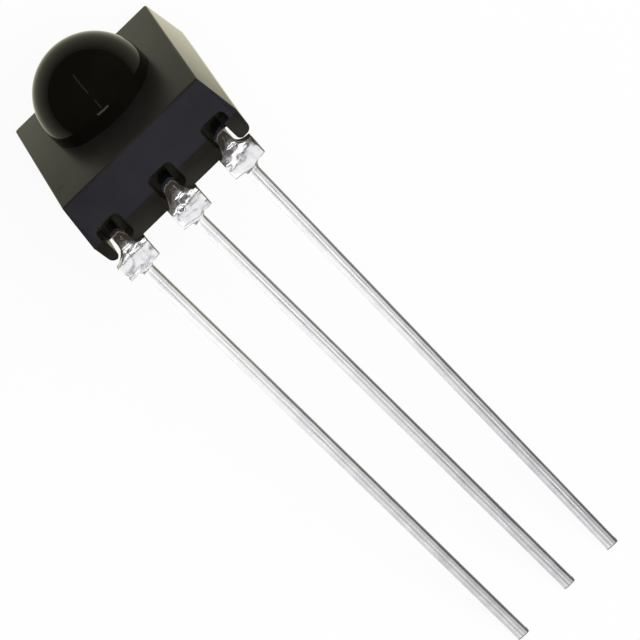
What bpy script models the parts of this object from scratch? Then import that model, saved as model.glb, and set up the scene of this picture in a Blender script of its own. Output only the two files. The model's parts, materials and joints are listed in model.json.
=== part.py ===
"""Infrared receiver module with bent leads, lying on a table. Metres, +Z up.

The module is modelled in its own frame: X across the leads, Y from the dome to
the rear face, Z up through the face that the leads leave. An empty then tilts it
onto its far rear edge and its lead tips, the way a loose one lies.
"""

import math

import bmesh
import bpy
from mathutils import Vector

MM = 0.001

# Moulded body, measured at the parting plane
BODY_WIDTH = 6.94 * MM
BODY_HEIGHT = 8.90 * MM
FRONT_DEPTH = 1.80 * MM
REAR_DEPTH = 0.90 * MM
SIDE_DRAFT = math.radians(7.0)
LEAD_FACE_DRAFT = math.radians(9.0)
FAR_FACE_DRAFT = math.radians(5.5)
SIDE_REAR_DRAFT = math.radians(7.0)
END_REAR_DRAFT = math.radians(1.5)
REAR_CORNER_RADIUS = 0.25 * MM

# Dome lens on the front face, its axis a little past the middle of the body
DOME_RADIUS = 2.21 * MM
DOME_FOOT = 0.41 * MM
DOME_OFFSET = 0.45 * MM
DOME_ROOT = 0.50 * MM

# Blind recess round each lead, measured from the parting plane to the front and the rear
RECESS_CLEARANCE = 0.29 * MM
RECESS_FRONT = 0.42 * MM
RECESS_REAR = 0.65 * MM
RECESS_DEPTH = 0.90 * MM
RECESS_FRONT_RADIUS = 0.20 * MM
RECESS_REAR_RADIUS = 0.28 * MM

# Deep slot between each outer lead and the ear beside it, open to the rear
SLOT_DEPTH = 1.80 * MM
SLOT_MOUTH_RADIUS = 0.20 * MM

# Lead frame
LEAD_PITCH = 2.54 * MM
LEAD_THICKNESS = 0.40 * MM
NECK_WIDTH = 0.46 * MM
FLARE_LENGTH = 0.45 * MM
TAB_WIDTH = 1.44 * MM
TAB_LENGTH = 0.85 * MM
TAB_SHOULDER = 0.02 * MM
ROOT_FILLET = 0.20 * MM
LEAD_WIDTH = 0.45 * MM
BEND_INNER_RADIUS = 0.20 * MM
LEAD_STANDOFF = 0.97 * MM
TAB_START = 0.13 * MM
LEAD_REACH = 20.88 * MM
EDGE_CHAMFER = 0.04 * MM
TIP_BURR = 0.03 * MM
TIP_BURR_LENGTH = 0.14 * MM
SHOULDER = 0.15 * MM

# Each lead's place in pitches, how far its neck is offset from there, the gap from the neck
# to the ear beside an outer lead, and how its thin end came out: sideways shift at its tab,
# lean by its tip, extra length
LEADS = {
    "output_lead": {
        "pitches": 1, "neck": -0.04 * MM, "ear_gap": 0.27 * MM,
        "shift": 0.02 * MM, "lean": 0.19 * MM, "extra": 0.11 * MM,
    },
    "ground_lead": {
        "pitches": 0, "neck": 0.0, "ear_gap": None,
        "shift": 0.08 * MM, "lean": 0.22 * MM, "extra": -0.05 * MM,
    },
    "supply_lead": {
        "pitches": -1, "neck": 0.10 * MM, "ear_gap": 0.12 * MM,
        "shift": 0.10 * MM, "lean": 0.66 * MM, "extra": -0.01 * MM,
    },
}

# Chips on the middle lead's pad, and the side leads' bonding posts
CHIP_THICKNESS = 0.25 * MM
ATTACH_THICKNESS = 0.03 * MM
PHOTODIODE_SIDE = 1.90 * MM
RECEIVER_WIDTH = 1.40 * MM
RECEIVER_HEIGHT = 1.00 * MM
CHIP_SPACING = 0.25 * MM
PAD_MARGIN = 0.30 * MM
POST_WIDTH = 1.00 * MM
POST_LENGTH = 1.30 * MM
POST_INSET = 0.35 * MM
WIRE_RADIUS = 0.015 * MM
WIRE_RISE = 0.35 * MM
WIRE_FALL = 0.22 * MM
WIRE_EDGE = 0.20 * MM

# Clearance of the moulding compound round what it encloses, and under what is seated
FIT = 0.02 * MM
SEAT = 0.01 * MM

# How far a cutter reaches past the face that it opens
CUTTER_REACH = 0.30 * MM

DOME_SEGMENTS = 72
DOME_RINGS = 18
ARC_STEPS = 8
BEND_STEPS = 12
WIRE_STEPS = 12
WIRE_SIDES = 8
LEAST_STEP = 0.005 * MM
SHARP_ANGLE = math.radians(30.0)

LEAD_FACE_Z = BODY_HEIGHT / 2
BODY_DEPTH = FRONT_DEPTH + REAR_DEPTH
FRAME_FRONT = FRONT_DEPTH - LEAD_THICKNESS / 2
BEND_RADIUS = BEND_INNER_RADIUS + LEAD_THICKNESS / 2
RUN_Z = LEAD_FACE_Z + LEAD_STANDOFF
BEND_START = RUN_Z - BEND_RADIUS
BEND_END = BEND_START + BEND_RADIUS * math.pi / 2
TAB_FRONT = BEND_END + TAB_START
TAB_END = TAB_FRONT + TAB_LENGTH
TIP_Y = BODY_DEPTH + LEAD_REACH
POST_TOP = LEAD_FACE_Z - SLOT_DEPTH - POST_INSET
PHOTODIODE_Z = -DOME_OFFSET
RECEIVER_Z = PHOTODIODE_Z + PHOTODIODE_SIDE / 2 + CHIP_SPACING + RECEIVER_HEIGHT / 2
CHIP_BACK = FRAME_FRONT - SEAT - ATTACH_THICKNESS - SEAT
CHIP_FRONT = CHIP_BACK - CHIP_THICKNESS


def clear_scene():
    for old in list(bpy.data.objects):
        bpy.data.objects.remove(old)


def make_material(name, colour, roughness, metallic):
    material = bpy.data.materials.new(name)
    material.use_nodes = True
    shader = material.node_tree.nodes["Principled BSDF"]
    shader.inputs["Base Color"].default_value = (*colour, 1.0)
    shader.inputs["Roughness"].default_value = roughness
    shader.inputs["Metallic"].default_value = metallic
    return material


def add_object(name, bm, material, parent):
    """Turns a bmesh into a named object that hangs on the parent empty."""
    bmesh.ops.recalc_face_normals(bm, faces=bm.faces)
    mesh = bpy.data.meshes.new(name)
    bm.to_mesh(mesh)
    bm.free()
    mesh.shade_smooth()
    mesh.set_sharp_from_angle(angle=SHARP_ANGLE)
    if material:
        mesh.materials.append(material)
    made = bpy.data.objects.new(name, mesh)
    made.parent = parent
    bpy.context.scene.collection.objects.link(made)
    return made


def as_form(made):
    """Marks an object that only shapes another one."""
    made.hide_render = True
    made.display_type = "WIRE"
    return made


def combine(target, form, operation):
    modifier = target.modifiers.new(f"{operation.lower()}_{form.name}", "BOOLEAN")
    modifier.operation = operation
    modifier.solver = "EXACT"
    modifier.object = form


def loft(rings):
    """A closed solid through rings of the same number of points."""
    bm = bmesh.new()
    rows = [[bm.verts.new(point) for point in ring] for ring in rings]
    for near, far in zip(rows, rows[1:]):
        bmesh.ops.bridge_loops(bm, edges=ring_edges(bm, near) + ring_edges(bm, far))
    bm.faces.new(rows[0])
    bm.faces.new(rows[-1])
    return bm


def ring_edges(bm, row):
    edges = []
    for start, end in zip(row, row[1:] + row[:1]):
        edges.append(bm.edges.get((start, end)) or bm.edges.new((start, end)))
    return edges


def prism(outline, low, high):
    """A solid with an outline in X and Y, from z low to z high."""
    return loft([[Vector((x, y, z)) for x, y in outline] for z in (low, high)])


def block(low, high):
    (x0, y0, z0), (x1, y1, z1) = low, high
    return prism([(x0, y0), (x1, y0), (x1, y1), (x0, y1)], z0, z1)


def arc(centre, radius, start, end, steps=ARC_STEPS):
    """Points on a circle from angle start to angle end, both included."""
    points = []
    for i in range(steps + 1):
        angle = start + (end - start) * i / steps
        points.append((centre[0] + radius * math.cos(angle), centre[1] + radius * math.sin(angle)))
    return points


def body_side_profile():
    """Half width against depth: drafted front, drafted rear, rounded rear corner."""
    half = BODY_WIDTH / 2
    slope = SIDE_REAR_DRAFT
    flank = half * math.cos(slope) + FRONT_DEPTH * math.sin(slope)
    centre_y = BODY_DEPTH - REAR_CORNER_RADIUS
    centre_x = (flank - REAR_CORNER_RADIUS - centre_y * math.sin(slope)) / math.cos(slope)
    corner = arc((centre_x, centre_y), REAR_CORNER_RADIUS, slope, math.pi / 2)
    return [(half - FRONT_DEPTH * math.tan(SIDE_DRAFT), 0.0), (half, FRONT_DEPTH)] + corner


def body_edge_z(depth, front_draft):
    """How far the drafted end face lies from the middle at this depth."""
    if depth < FRONT_DEPTH:
        return BODY_HEIGHT / 2 - (FRONT_DEPTH - depth) * math.tan(front_draft)
    return BODY_HEIGHT / 2 - (depth - FRONT_DEPTH) * math.tan(END_REAR_DRAFT)


def body_block():
    rings = []
    for half, depth in body_side_profile():
        top = body_edge_z(depth, LEAD_FACE_DRAFT)
        bottom = -body_edge_z(depth, FAR_FACE_DRAFT)
        outline = ((-half, bottom), (half, bottom), (half, top), (-half, top))
        rings.append([Vector((x, depth, z)) for x, z in outline])
    return loft(rings)


def dome_form():
    """The lens: a half ball on a short round foot, rooted in the body."""
    profile = [(DOME_RADIUS, DOME_ROOT), (DOME_RADIUS, 0.0)]
    profile += arc((0.0, -DOME_FOOT), DOME_RADIUS, 0.0, -math.pi / 2, DOME_RINGS)[:-1]
    bm = bmesh.new()
    apex = bm.verts.new((0.0, -DOME_FOOT - DOME_RADIUS, -DOME_OFFSET))
    rows = []
    for radius, depth in profile:
        rows.append([])
        for i in range(DOME_SEGMENTS):
            angle = 2 * math.pi * i / DOME_SEGMENTS
            place = (radius * math.cos(angle), depth, radius * math.sin(angle) - DOME_OFFSET)
            rows[-1].append(bm.verts.new(place))
    for near, far in zip(rows, rows[1:]):
        bmesh.ops.bridge_loops(bm, edges=ring_edges(bm, near) + ring_edges(bm, far))
    for start, end in zip(rows[-1], rows[-1][1:] + rows[-1][:1]):
        bm.faces.new((start, end, apex))
    bm.faces.new(rows[0])
    return bm


def ear_wall(lead):
    """Side wall of the ear beside an outer lead, at its gap from the lead's neck."""
    neck = lead["pitches"] * LEAD_PITCH + lead["neck"]
    return neck + math.copysign(NECK_WIDTH / 2 + lead["ear_gap"], lead["pitches"])


def recess_form(lead):
    """Blind recess round a lead, ending at the ear's wall behind the parting plane."""
    x = lead["pitches"] * LEAD_PITCH
    half = NECK_WIDTH / 2 + RECESS_CLEARANCE
    low, high = x - half, x + half
    if lead["ear_gap"]:
        low = max(low, ear_wall(lead)) if lead["pitches"] < 0 else low
        high = min(high, ear_wall(lead)) if lead["pitches"] > 0 else high
    front = FRONT_DEPTH - RECESS_FRONT
    rear = FRONT_DEPTH + RECESS_REAR
    near, far = RECESS_FRONT_RADIUS, RECESS_REAR_RADIUS
    outline = arc((x - half + near, front + near), near, math.pi, 1.5 * math.pi)
    outline += arc((x + half - near, front + near), near, 1.5 * math.pi, 2 * math.pi)
    outline += [(x + half, FRONT_DEPTH)]
    outline += [(high, FRONT_DEPTH)] if high < x + half else []
    outline += arc((high - far, rear - far), far, 0.0, math.pi / 2)
    outline += arc((low + far, rear - far), far, math.pi / 2, math.pi)
    outline += [(low, FRONT_DEPTH)] if low > x - half else []
    outline += [(x - half, FRONT_DEPTH)]
    return prism(outline, LEAD_FACE_Z - RECESS_DEPTH, LEAD_FACE_Z + CUTTER_REACH)


def slot_form(lead):
    """Deep slot from the ear's wall to the middle of the neck, open to the rear."""
    wall = ear_wall(lead)
    neck = lead["pitches"] * LEAD_PITCH + lead["neck"]
    low, high = min(wall, neck), max(wall, neck)
    radius = SLOT_MOUTH_RADIUS
    mouth = BODY_DEPTH - radius
    behind = BODY_DEPTH + CUTTER_REACH
    outline = [(low, FRONT_DEPTH), (high, FRONT_DEPTH)]
    outline += arc((high + radius, mouth), radius, math.pi, math.pi / 2)
    outline += [(high + radius, behind), (low - radius, behind)]
    outline += arc((low - radius, mouth), radius, math.pi / 2, 0.0)
    return prism(outline, LEAD_FACE_Z - SLOT_DEPTH, LEAD_FACE_Z + CUTTER_REACH)


def inner_end(name):
    """Half width, bottom and top of the part of a lead that the chips or wires use."""
    if name == "ground_lead":
        half = max(PHOTODIODE_SIDE, RECEIVER_WIDTH) / 2 + PAD_MARGIN
        bottom = PHOTODIODE_Z - PHOTODIODE_SIDE / 2 - PAD_MARGIN
        return half, bottom, RECEIVER_Z + RECEIVER_HEIGHT / 2 + PAD_MARGIN
    return POST_WIDTH / 2, POST_TOP - POST_LENGTH, POST_TOP


def quarter_rise(share):
    """Height of a quarter circle that starts flat and ends upright, for a share from 0 to 1."""
    return 1 - math.sqrt(1 - min(max(share, 0.0), 1.0) ** 2)


def flat_sides(name, along, tip):
    """Middle and half width of the flat blank at a developed length along the lead."""
    lead = LEADS[name]
    inner_half, _, inner_top = inner_end(name)
    if along <= inner_top + SHOULDER:
        share = max(0.0, along - inner_top) / SHOULDER
        return lead["neck"] * share, inner_half + (NECK_WIDTH / 2 - inner_half) * share
    if along < TAB_END - TAB_SHOULDER:
        share = quarter_rise(1 - (TAB_FRONT - along) / FLARE_LENGTH)
        return lead["neck"] * (1 - share), NECK_WIDTH / 2 + (TAB_WIDTH - NECK_WIDTH) / 2 * share
    root_half = LEAD_WIDTH / 2 + ROOT_FILLET
    if along < TAB_END:
        share = (TAB_END - along) / TAB_SHOULDER
        return lead["shift"] * (1 - share), root_half + (TAB_WIDTH / 2 - root_half) * share
    fillet = ROOT_FILLET * quarter_rise(1 - (along - TAB_END) / ROOT_FILLET)
    burr = TIP_BURR * max(0.0, 1 - (tip - along) / TIP_BURR_LENGTH)
    lean = lead["lean"] * (along - TAB_END) / (tip - TAB_END)
    return lead["shift"] + lean, LEAD_WIDTH / 2 + fillet + burr


def blank_stations(name, tip):
    """Developed lengths where the blank changes width or bends, in order."""
    _, bottom, top = inner_end(name)
    stations = [bottom, top, top + SHOULDER, TAB_END - TAB_SHOULDER, TAB_END, tip - TIP_BURR_LENGTH, tip]
    stations += [BEND_START + (BEND_END - BEND_START) * i / BEND_STEPS for i in range(BEND_STEPS + 1)]
    for i in range(ARC_STEPS + 1):
        along_arc = 1 - math.sin(math.pi / 2 * i / ARC_STEPS)
        stations += [TAB_FRONT - FLARE_LENGTH * along_arc, TAB_END + ROOT_FILLET * along_arc]
    apart = []
    for station in sorted(stations):
        if not apart or station - apart[-1] > LEAST_STEP:
            apart.append(station)
    return apart


def bent_place(along):
    """Middle of the blank and its outward direction, in Y and Z, once it is bent."""
    if along <= BEND_START:
        return Vector((FRONT_DEPTH, along)), Vector((-1.0, 0.0))
    if along <= BEND_END:
        turn = (along - BEND_START) / BEND_RADIUS
        outward = Vector((-math.cos(turn), math.sin(turn)))
        return Vector((FRONT_DEPTH + BEND_RADIUS, BEND_START)) + BEND_RADIUS * outward, outward
    return Vector((FRONT_DEPTH + BEND_RADIUS + along - BEND_END, RUN_Z)), Vector((0.0, 1.0))


def tip_length(lead):
    """Developed length at the tip of a lead."""
    return BEND_END + TIP_Y + lead["extra"] - FRONT_DEPTH - BEND_RADIUS


def lead_ring(name, along, tip, grow):
    """Section of a lead: a rectangle with broken corners, square to the bent blank."""
    lead = LEADS[name]
    offset, half = flat_sides(name, along, tip)
    half += grow
    thick = LEAD_THICKNESS / 2 + grow
    middle, outward = bent_place(along)
    share = max(0.0, (along - TAB_END) / (tip - TAB_END))
    rise = lead["extra"] * math.tan(rest_tilt()) * share
    cut = EDGE_CHAMFER
    corners = [
        (-half, -thick + cut), (-half + cut, -thick), (half - cut, -thick), (half, -thick + cut),
        (half, thick - cut), (half - cut, thick), (-half + cut, thick), (-half, thick - cut),
    ]
    centre = lead["pitches"] * LEAD_PITCH + offset
    ring = []
    for across, out in corners:
        y, z = middle + outward * out
        ring.append(Vector((centre + across, y, z + rise)))
    return ring


def lead_solid(name, grow=0.0, end=None):
    """A lead from its inner end to its tip, or to the developed length given."""
    tip = tip_length(LEADS[name])
    stations = blank_stations(name, tip)
    if end is not None:
        stations = [station for station in stations if station < end] + [end]
    rings = [lead_ring(name, station, tip, grow) for station in stations]
    for point in rings[0]:
        point.z -= grow
    return loft(rings)


def chip_block(width, height, z, back, thickness, grow=0.0):
    low = (-width / 2 - grow, back - thickness - grow, z - height / 2 - grow)
    high = (width / 2 + grow, back + grow, z + height / 2 + grow)
    return block(low, high)


def wire_path(start, end):
    """A bonding wire: straight up from its ball, over, and down to its stitch."""
    forward = Vector((0.0, -1.0, 0.0))
    controls = [start, start + WIRE_RISE * forward, end + WIRE_FALL * forward, end]
    points = []
    for i in range(WIRE_STEPS + 1):
        t = i / WIRE_STEPS
        weights = ((1 - t) ** 3, 3 * t * (1 - t) ** 2, 3 * t**2 * (1 - t), t**3)
        points.append(sum((w * c for w, c in zip(weights, controls)), Vector()))
    return points


def wire_solid(start, end, grow=0.0):
    points = wire_path(start, end)
    side = (end - start).cross(Vector((0.0, 1.0, 0.0))).normalized()
    rings = []
    for i, point in enumerate(points):
        ahead = points[min(i + 1, WIRE_STEPS)] - points[max(i - 1, 0)]
        other = ahead.cross(side).normalized()
        ring = []
        for x, y in arc((0.0, 0.0), WIRE_RADIUS + grow, 0.0, 2 * math.pi, WIRE_SIDES)[:-1]:
            ring.append(point + side * x + other * y)
        rings.append(ring)
    return loft(rings)


def wire_ends():
    """Start and end of each bonding wire, on the front of the chips and of the frame."""
    ball_y = CHIP_FRONT - SEAT
    chip_y = CHIP_FRONT - WIRE_RADIUS - SEAT
    frame_y = FRAME_FRONT - WIRE_RADIUS - SEAT
    ball_x = RECEIVER_WIDTH / 2 - WIRE_EDGE
    post_x = LEAD_PITCH - POST_WIDTH / 2 + WIRE_EDGE
    post_z = POST_TOP - POST_LENGTH / 2
    pad_half, _, _ = inner_end("ground_lead")
    pad_x = (RECEIVER_WIDTH / 2 + pad_half) / 2
    low_z = RECEIVER_Z - RECEIVER_HEIGHT / 2 + WIRE_EDGE
    diode_z = PHOTODIODE_Z + PHOTODIODE_SIDE / 2 - WIRE_EDGE
    ends = {
        "photodiode_bond_wire": ((0.0, ball_y, diode_z), (0.0, chip_y, low_z)),
        "output_bond_wire": ((ball_x, ball_y, RECEIVER_Z), (post_x, frame_y, post_z)),
        "supply_bond_wire": ((-ball_x, ball_y, RECEIVER_Z), (-post_x, frame_y, post_z)),
        "ground_bond_wire": ((ball_x, ball_y, low_z), (pad_x, frame_y, low_z)),
    }
    return {name: (Vector(start), Vector(end)) for name, (start, end) in ends.items()}


def chip_layers():
    """Width, height, place, back face and thickness of each chip and its glue."""
    glue_back = FRAME_FRONT - SEAT
    diode = (PHOTODIODE_SIDE, PHOTODIODE_SIDE, PHOTODIODE_Z)
    receiver = (RECEIVER_WIDTH, RECEIVER_HEIGHT, RECEIVER_Z)
    return {
        "photodiode_chip": (*diode, CHIP_BACK, CHIP_THICKNESS),
        "receiver_chip": (*receiver, CHIP_BACK, CHIP_THICKNESS),
        "photodiode_die_attach": (*diode, glue_back, ATTACH_THICKNESS),
        "receiver_die_attach": (*receiver, glue_back, ATTACH_THICKNESS),
    }


def build_body(material, parent):
    """The moulded body: drafted block and dome, less the recesses and what it encloses."""
    body = add_object("epoxy_body", body_block(), material, parent)
    combine(body, as_form(add_object("dome_form", dome_form(), None, parent)), "UNION")
    forms = []
    for name, lead in LEADS.items():
        forms.append((f"{name}_recess", recess_form(lead)))
        if lead["ear_gap"]:
            forms.append((f"{name}_slot", slot_form(lead)))
        forms.append((f"{name}_bed", lead_solid(name, FIT, LEAD_FACE_Z + CUTTER_REACH)))
    for name, layer in chip_layers().items():
        forms.append((f"{name}_bed", chip_block(*layer, grow=FIT)))
    for name, (start, end) in wire_ends().items():
        forms.append((f"{name}_bed", wire_solid(start, end, FIT)))
    for name, bm in forms:
        combine(body, as_form(add_object(name, bm, None, parent)), "DIFFERENCE")
    return body


def rest_tilt():
    """Tilt that brings the far rear edge and the lead tips down to one level."""
    edge_z = -body_edge_z(BODY_DEPTH, FAR_FACE_DRAFT)
    underside = RUN_Z - LEAD_THICKNESS / 2
    return math.atan2(underside - edge_z, TIP_Y - BODY_DEPTH)


def stand_on_floor(parent, solids):
    """Moves the tilted module so that its box stands centred on the origin."""
    parent.rotation_euler.x = -rest_tilt()
    bpy.context.view_layer.update()
    graph = bpy.context.evaluated_depsgraph_get()
    corners = []
    for solid in solids:
        shown = solid.evaluated_get(graph)
        corners += [shown.matrix_world @ vertex.co for vertex in shown.data.vertices]
    low = Vector([min(corner[i] for corner in corners) for i in range(3)])
    high = Vector([max(corner[i] for corner in corners) for i in range(3)])
    parent.location = (-(low.x + high.x) / 2, -(low.y + high.y) / 2, -low.z)


def main():
    clear_scene()
    epoxy = make_material("black_epoxy", (0.012, 0.012, 0.012), 0.28, 0.0)
    tin = make_material("tinned_steel", (0.62, 0.62, 0.63), 0.22, 1.0)
    silicon = make_material("silicon", (0.10, 0.11, 0.14), 0.20, 0.5)
    glue = make_material("silver_glue", (0.55, 0.55, 0.52), 0.45, 0.6)
    gold = make_material("gold_wire", (0.95, 0.70, 0.28), 0.25, 1.0)
    module = bpy.data.objects.new("module", None)
    bpy.context.scene.collection.objects.link(module)
    solids = [build_body(epoxy, module)]
    for name in LEADS:
        solids.append(add_object(name, lead_solid(name), tin, module))
    for name, layer in chip_layers().items():
        finish = silicon if name.endswith("chip") else glue
        solids.append(add_object(name, chip_block(*layer), finish, module))
    for name, (start, end) in wire_ends().items():
        solids.append(add_object(name, wire_solid(start, end), gold, module))
    stand_on_floor(module, solids)


main()
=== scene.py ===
"""The infrared receiver module as it lies in its photograph. Metres, +Z up.

Shapes are drawn in the module's own frame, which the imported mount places: X across
the leads, Y from the dome to the rear face, Z up through the face the leads leave.
"""

import json
import math
from collections import namedtuple

import bmesh
import bpy
from mathutils import Euler, Matrix, Vector, noise


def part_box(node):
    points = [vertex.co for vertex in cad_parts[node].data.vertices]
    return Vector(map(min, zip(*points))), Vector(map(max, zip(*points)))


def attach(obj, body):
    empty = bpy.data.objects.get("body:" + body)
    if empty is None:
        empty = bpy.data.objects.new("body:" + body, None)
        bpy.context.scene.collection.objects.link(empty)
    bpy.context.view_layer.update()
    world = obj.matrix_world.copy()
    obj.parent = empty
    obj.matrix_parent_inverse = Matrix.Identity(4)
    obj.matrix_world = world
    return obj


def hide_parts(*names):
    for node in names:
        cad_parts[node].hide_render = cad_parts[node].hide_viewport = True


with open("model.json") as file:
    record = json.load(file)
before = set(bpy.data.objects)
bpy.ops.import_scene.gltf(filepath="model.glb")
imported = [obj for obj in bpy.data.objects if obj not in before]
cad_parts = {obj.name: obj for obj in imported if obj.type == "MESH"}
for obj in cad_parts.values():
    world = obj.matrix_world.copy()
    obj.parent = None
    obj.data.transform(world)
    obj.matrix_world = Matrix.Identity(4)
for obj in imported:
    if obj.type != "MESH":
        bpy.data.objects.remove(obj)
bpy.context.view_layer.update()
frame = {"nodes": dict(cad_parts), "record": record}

MM = 0.001

# Moulded body, measured at the parting plane
BODY_WIDTH = 6.932 * MM
BODY_HEIGHT = 8.90 * MM
FRONT_DEPTH = 1.80 * MM
REAR_DEPTH = 0.90 * MM
SIDE_DRAFT = math.radians(7.0)
LEAD_FACE_DRAFT = math.radians(9.0)
FAR_FACE_DRAFT = math.radians(5.5)
SIDE_REAR_DRAFT = math.radians(7.0)
END_REAR_DRAFT = math.radians(1.5)
SIDE_REAR_RADIUS = 0.25 * MM
END_REAR_RADIUS = 0.04 * MM
FRONT_EDGE_RADIUS = 0.07 * MM
CORNER_RADIUS = 0.07 * MM
FLASH_HEIGHT = 0.004 * MM
FLASH_WIDTH = 0.03 * MM

# How finely the body is drawn: steps round its edges, sections of the flash, least spacing
EDGE_STEPS = 6
REAR_EDGE_STEPS = 9
FLASH_SECTIONS = (-1.0, -0.3, 0.3, 1.0)
BODY_SPACING = 0.0015 * MM
BODY_SHARP_ANGLE = 32.0

# Dome lens. Its finish starts a little way up the fillet at its foot
DOME_RADIUS = 2.209 * MM
DOME_FOOT = 0.41 * MM
DOME_ASIDE = -0.04 * MM
DOME_OFFSET = 0.45 * MM
DOME_ROOT = 0.50 * MM
DOME_SKIRT = 0.02 * MM
DOME_FILLET = 0.012 * MM
DOME_FILLET_START = 12.0
DOME_FILLET_STEPS = 5
DOME_FINISH_RISE = 0.2 * DOME_FILLET
DOME_RINGS = 44
DOME_SEGMENTS = 176

# Blind recess round each lead, and the deep slot beside each outer one
RECESS_WIDTH = 1.04 * MM
RECESS_FRONT = 0.42 * MM
RECESS_REAR = 0.65 * MM
RECESS_DEPTH = 0.90 * MM
RECESS_FRONT_RADIUS = 0.20 * MM
RECESS_REAR_RADIUS = 0.28 * MM
SLOT_DEPTH = 1.80 * MM
SLOT_MOUTH_RADIUS = 0.18 * MM
SLOT_START = FRONT_DEPTH + 0.02 * MM
EAR_START = FRONT_DEPTH + 0.001 * MM
MOUTH_RADIUS = 0.05 * MM
MOUTH_TURN = 78.0
MOUTH_STEPS = 4
CUTTER_REACH = 0.30 * MM

# Leads
LEAD_PITCH = 2.54 * MM
LEAD_THICKNESS = 0.40 * MM
LEAD_WIDTH = 0.45 * MM
BEND_INNER_RADIUS = 0.20 * MM
LEAD_STANDOFF = 0.97 * MM
TAB_END = 6.63 * MM
LEAD_REACH = 20.88 * MM
PLAN_RADIUS = 0.03 * MM
EDGE_RADIUS = 0.06 * MM
LEAST_EDGE_RADIUS = 0.01 * MM
TIN_FILM = 0.008 * MM
TIP_RADIUS = 0.05 * MM
TIP_ROUND_START = 30.0
TIP_BURR = 0.03 * MM
TIP_BURR_LENGTH = 0.14 * MM
INNER_LENGTH = 1.90 * MM
LEAD_SHARP_ANGLE = 50.0

# A lead is drawn finest up to the first length past its tab, less finely up to the second, and
# finely again before its tip
PAST_TAB = 0.30 * MM
NEAR_TAB = 0.90 * MM
NEAR_TIP = 0.20 * MM
BEFORE_CORNER = 0.004 * MM
AFTER_CORNER = 0.0005 * MM
LEAD_SPACING = 0.0004 * MM

# The upper side steps down behind the tab: how far, and over which length
STEP_DOWN = 0.035 * MM
STEP_LENGTH = 0.18 * MM

# The tab's relief sets in along the flare and fades out past the tab's end
RELIEF_START = 5.30 * MM
RELIEF_RISE = 0.40 * MM
RELIEF_STOP = TAB_END - 0.05 * MM
RELIEF_FALL = 0.35 * MM

# How many times finer the fine noise in the tin is, on the tabs and on the thin ends
FINE_SCALE = 3.1

# Relief of the tin on the tabs, in mm: waves, wrinkles, the crown across and the curve along
WAVE_HEIGHT = 0.040
WAVE_SCALE = Vector((1.5, 1.2, 1.0))
WRINKLE_HEIGHT = 0.014
WRINKLE_MEAN = 0.25
TAB_CROWN = 0.09
TAB_CURVE = 0.22
TAB_CURVE_START = 5.60
TAB_CURVE_END = 6.05
PIT_DEPTH = 0.030
PIT_REACH = 0.09

# Relief on the thin ends, in mm: drawn streaks, falling sides, a ridge and a groove beside it
STREAK_SCALE = (5.0, 0.5)
STREAK_HEIGHT = 0.006
FINE_STREAK_HEIGHT = 0.002
STREAK_DROP = 0.004
PLUS_FALL, PLUS_FALL_START = 1.35, 0.04
MINUS_FALL, MINUS_FALL_START = 3.0, 0.13
RIDGE_HEIGHT, RIDGE_PLACE = 0.007, -0.06
GROOVE_DEPTH, GROOVE_PLACE = 0.007, 0.01
LINE_REACH = 0.03

# One side of a lead, in mm: the neck's half width at its root and at the flare, where the flare
# and the tab start, the tab's first and last half width, and the fillet at the thin end. The
# flare's sharpness is a plain exponent.
Side = namedtuple("Side", "neck neck_end flare front first last sharpness fillet")

# The share of the flare past which its corner with the tab is rounded
FLARE_CORNER = 0.98

# Each lead's place in pitches, the middle of its neck and the ear's wall from there, how its
# thin end came out (sideways shift, lean by the tip, extra length), and its two sides.
# One tab has a pit in its tin: its place across and along, in mm.
LEADS = {
    "output_lead": {
        "pitches": 1, "neck": -0.04 * MM, "ear": 0.46 * MM, "seed": 3.0,
        "shift": 0.02 * MM, "lean": 0.19 * MM, "extra": 0.11 * MM,
        "plus": Side(0.157, 0.160, 5.36, 5.950, 0.765, 0.745, 1.7, 0.12),
        "minus": Side(0.224, 0.350, 5.50, 5.765, 0.734, 0.660, 2.5, 0.15),
    },
    "ground_lead": {
        "pitches": 0, "neck": 0.0, "ear": None, "seed": 11.0,
        "shift": 0.08 * MM, "lean": 0.22 * MM, "extra": -0.05 * MM, "pit": (0.26, 5.94),
        "plus": Side(0.264, 0.295, 5.22, 5.700, 0.655, 0.711, 1.5, 0.12),
        "minus": Side(0.265, 0.295, 5.36, 5.770, 0.690, 0.630, 1.5, 0.15),
    },
    "supply_lead": {
        "pitches": -1, "neck": 0.10 * MM, "ear": -0.255 * MM, "seed": 23.0,
        "shift": 0.10 * MM, "lean": 0.66 * MM, "extra": -0.01 * MM,
        "plus": Side(0.320, 0.330, 5.36, 5.730, 0.690, 0.750, 1.5, 0.12),
        "minus": Side(0.190, 0.205, 5.46, 5.820, 0.716, 0.660, 2.5, 0.30),
    },
}

# The mount that places the module's frame lies this far below its middle
MOUNT_Z = -0.50 * MM

# The camera, in the module's frame
CAMERA_PLACE = Vector((-18.627, -87.483, 220.178)) * MM
CAMERA_TURN = (-20.7534, -13.5700, 137.5080)
CAMERA_LENS = 380.382
CAMERA_SENSOR = 36.0
CLIP_START = 10.0 * MM
CLIP_END = 10.0

BODY_DEPTH = FRONT_DEPTH + REAR_DEPTH
LEAD_FACE_Z = BODY_HEIGHT / 2
BEND_RADIUS = BEND_INNER_RADIUS + LEAD_THICKNESS / 2
RUN_Z = LEAD_FACE_Z + LEAD_STANDOFF
BEND_START = RUN_Z - BEND_RADIUS
BEND_END = BEND_START + BEND_RADIUS * math.pi / 2


def module_matrix():
    """Where the module's own frame lies, from the mount on its rear face."""
    mounts = {mount["name"]: mount for mount in frame["record"]["mounts"]}
    rear = mounts["rear_face"]
    tilt = math.atan2(-rear["axis"][2], rear["axis"][1])
    turn = Matrix.Rotation(-tilt, 4, "X")
    return Matrix.Translation(rear["pos_m"]) @ turn @ Matrix.Translation((0.0, -BODY_DEPTH, -MOUNT_Z))


MODULE = module_matrix()
MODULE_TILT = MODULE.to_euler().x


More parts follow.
